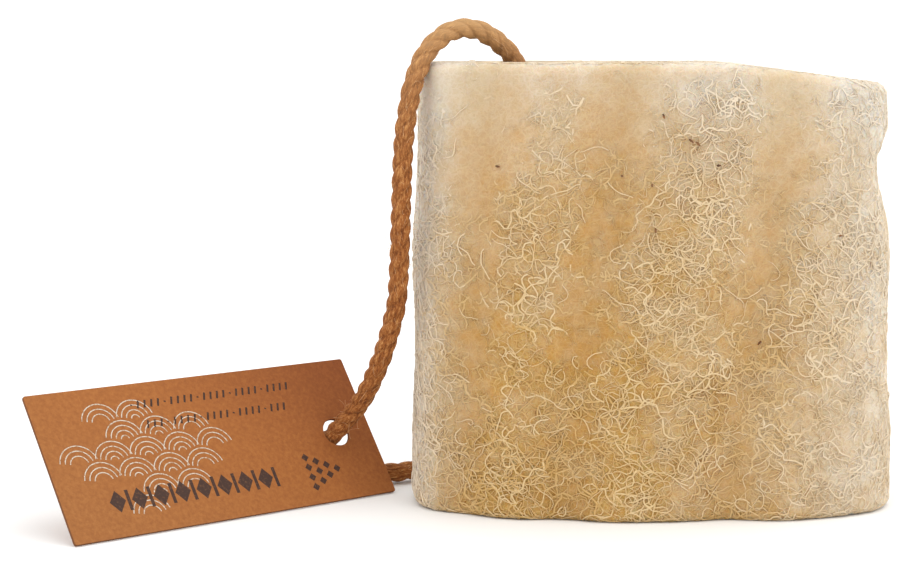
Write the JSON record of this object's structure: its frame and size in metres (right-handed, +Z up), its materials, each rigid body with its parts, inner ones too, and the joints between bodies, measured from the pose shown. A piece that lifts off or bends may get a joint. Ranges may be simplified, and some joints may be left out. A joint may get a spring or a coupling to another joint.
{
  "type": "natural loofah sponge",
  "caption": "Flattened block of natural loofah fibre with seed channels, a twisted hanging cord looped through it and a kraft card tag.",
  "frame": {"origin": "centre of the loofah block's box, at its lower cut face, without the cord and the tag", "axes": "+X along the block's width, to the right seen from the front; +Y to the back; +Z up, along the gourd's length"},
  "size_m": [0.2297, 0.1103, 0.1313],
  "materials": {
    "loofah_fibre": "matte",
    "jute": "matte",
    "kraft_card": "matte"
  },
  "bodies": {
    "root": {"loofah": "loofah_fibre", "cord": "jute", "cord_lower_run": "jute", "cord_upper_run": "jute", "cord_knot": "jute", "tag": "kraft_card"}
  },
  "joints": []
}
